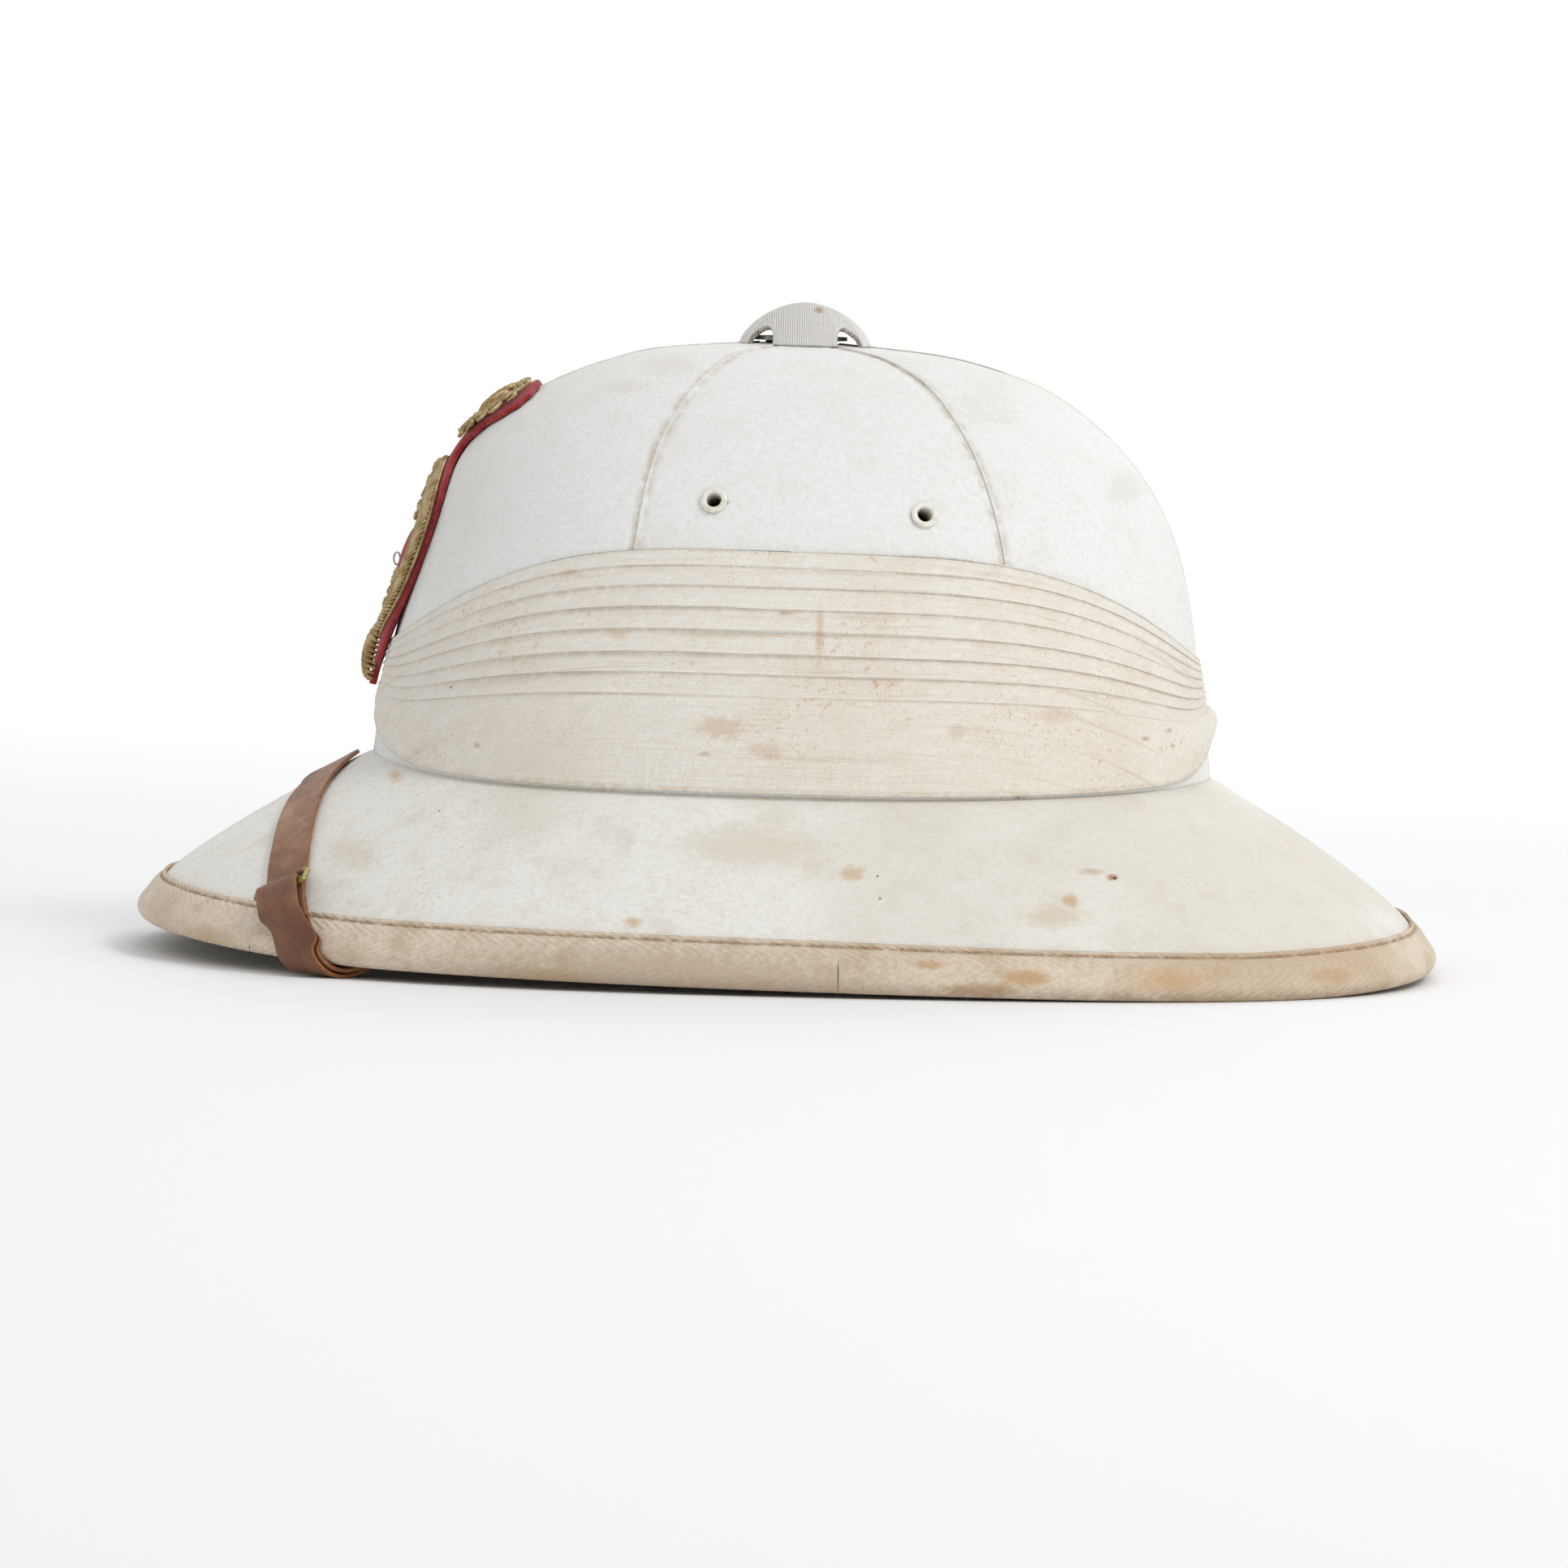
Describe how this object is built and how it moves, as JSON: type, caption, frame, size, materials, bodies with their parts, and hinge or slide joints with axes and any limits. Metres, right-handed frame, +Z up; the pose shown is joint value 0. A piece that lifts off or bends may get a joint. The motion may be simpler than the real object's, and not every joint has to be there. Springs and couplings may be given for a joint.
{
  "type": "pith sun helmet",
  "caption": "White cloth-covered sun helmet with a flared taped brim, pleated band, vent cap, leather chin strap and embroidered badge.",
  "frame": {"origin": "centre of the hat's plan, on the surface that the rim rests on", "axes": "+Z up, the front with the badge towards -X, the wearer's left towards -Y"},
  "size_m": [0.3453, 0.2676, 0.1745],
  "materials": {
    "crown_cloth": "fine cotton twill, matt, faintly soiled",
    "brim_cloth": "cotton cloth, matt, lightly worn and speckled",
    "pith": "pressed pith, raw and matt",
    "tape": "woven twill tape, matt, stained",
    "muslin": "pleated cotton muslin, matt, with rust spots",
    "enamel": "cream enamel over brass, worn",
    "leather": "smooth hide strap, darkened, with raw edges",
    "brass": "dull aged brass",
    "steel": "plain sheet metal, dull",
    "felt": "thick red wool felt",
    "bullion": "wound gilt wire, tarnished",
    "silver": "thin polished wire"
  },
  "bodies": {
    "root": {"crown_shell": "pith", "panel_back_right": "crown_cloth", "panel_side_right": "crown_cloth", "panel_front_right": "crown_cloth", "panel_front_left": "crown_cloth", "panel_side_left": "crown_cloth", "panel_back_left": "crown_cloth", "brim": "brim_cloth", "rim_tape": "tape", "puggaree": "muslin", "vent_collar": "steel", "vent_cap": "crown_cloth", "eyelet_left_front": "enamel", "eyelet_left_back": "enamel", "eyelet_right_front": "enamel", "eyelet_right_back": "enamel", "strap_long": "leather", "strap_short": "leather", "buckle": "brass", "strap_post_left": "brass", "strap_post_right": "brass", "badge_felt": "felt", "badge_wreath_left": "bullion", "badge_wreath_right": "bullion", "badge_knot": "bullion", "badge_centre": "felt", "badge_coronet": "bullion", "badge_loop": "silver"}
  },
  "joints": []
}
